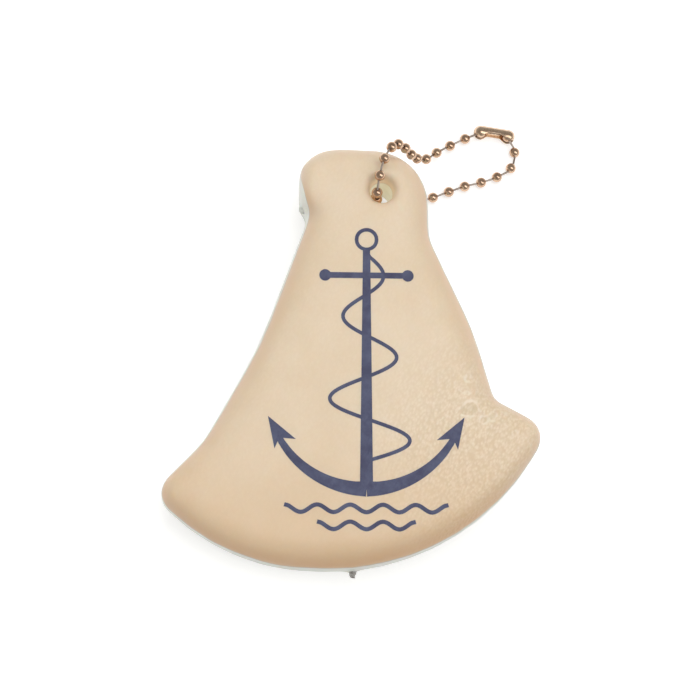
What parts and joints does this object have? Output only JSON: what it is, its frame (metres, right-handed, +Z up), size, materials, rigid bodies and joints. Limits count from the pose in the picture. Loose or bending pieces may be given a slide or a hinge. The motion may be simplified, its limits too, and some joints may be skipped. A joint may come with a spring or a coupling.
{
  "type": "floating keychain",
  "caption": "Soft foam floating keychain in the outline of a small sailing boat, with a printed anchor on its face and a bead chain through its neck.",
  "frame": {"origin": "the middle of the whole thing's footprint, on the surface it lies on", "axes": "+Z up out of the printed face, +Y from the boat's hull towards the neck with the hole"},
  "size_m": [0.0828, 0.106, 0.0241],
  "materials": {
    "foam_skin": "moulded self-skinning foam, satin, finely pebbled",
    "nickel_plate": "warm nickel plate on steel, lightly worn",
    "navy_ink": "flat pad-printed ink"
  },
  "bodies": {
    "root": {"float_body": "foam_skin", "bead_01": "nickel_plate", "bead_02": "nickel_plate", "bead_03": "nickel_plate", "bead_04": "nickel_plate", "bead_05": "nickel_plate", "bead_06": "nickel_plate", "bead_07": "nickel_plate", "bead_08": "nickel_plate", "bead_09": "nickel_plate", "bead_10": "nickel_plate", "bead_11": "nickel_plate", "bead_12": "nickel_plate", "bead_13": "nickel_plate", "bead_14": "nickel_plate", "bead_15": "nickel_plate", "bead_16": "nickel_plate", "bead_17": "nickel_plate", "bead_18": "nickel_plate", "bead_19": "nickel_plate", "bead_20": "nickel_plate", "bead_21": "nickel_plate", "bead_22": "nickel_plate", "bead_23": "nickel_plate", "bead_24": "nickel_plate", "bead_25": "nickel_plate", "bead_26": "nickel_plate", "bead_27": "nickel_plate", "bead_28": "nickel_plate", "pin_01": "nickel_plate", "pin_02": "nickel_plate", "pin_03": "nickel_plate", "pin_04": "nickel_plate", "pin_05": "nickel_plate", "pin_06": "nickel_plate", "pin_07": "nickel_plate", "pin_08": "nickel_plate", "pin_09": "nickel_plate", "pin_10": "nickel_plate", "pin_11": "nickel_plate", "pin_12": "nickel_plate", "pin_13": "nickel_plate", "pin_14": "nickel_plate", "pin_15": "nickel_plate", "pin_16": "nickel_plate", "pin_17": "nickel_plate", "pin_18": "nickel_plate", "pin_19": "nickel_plate", "pin_20": "nickel_plate", "pin_21": "nickel_plate", "pin_22": "nickel_plate", "pin_23": "nickel_plate", "pin_24": "nickel_plate", "pin_25": "nickel_plate", "pin_26": "nickel_plate", "pin_27": "nickel_plate", "connector": "nickel_plate", "print_anchor": "navy_ink", "print_wave_upper": "navy_ink", "print_wave_lower": "navy_ink"}
  },
  "joints": []
}
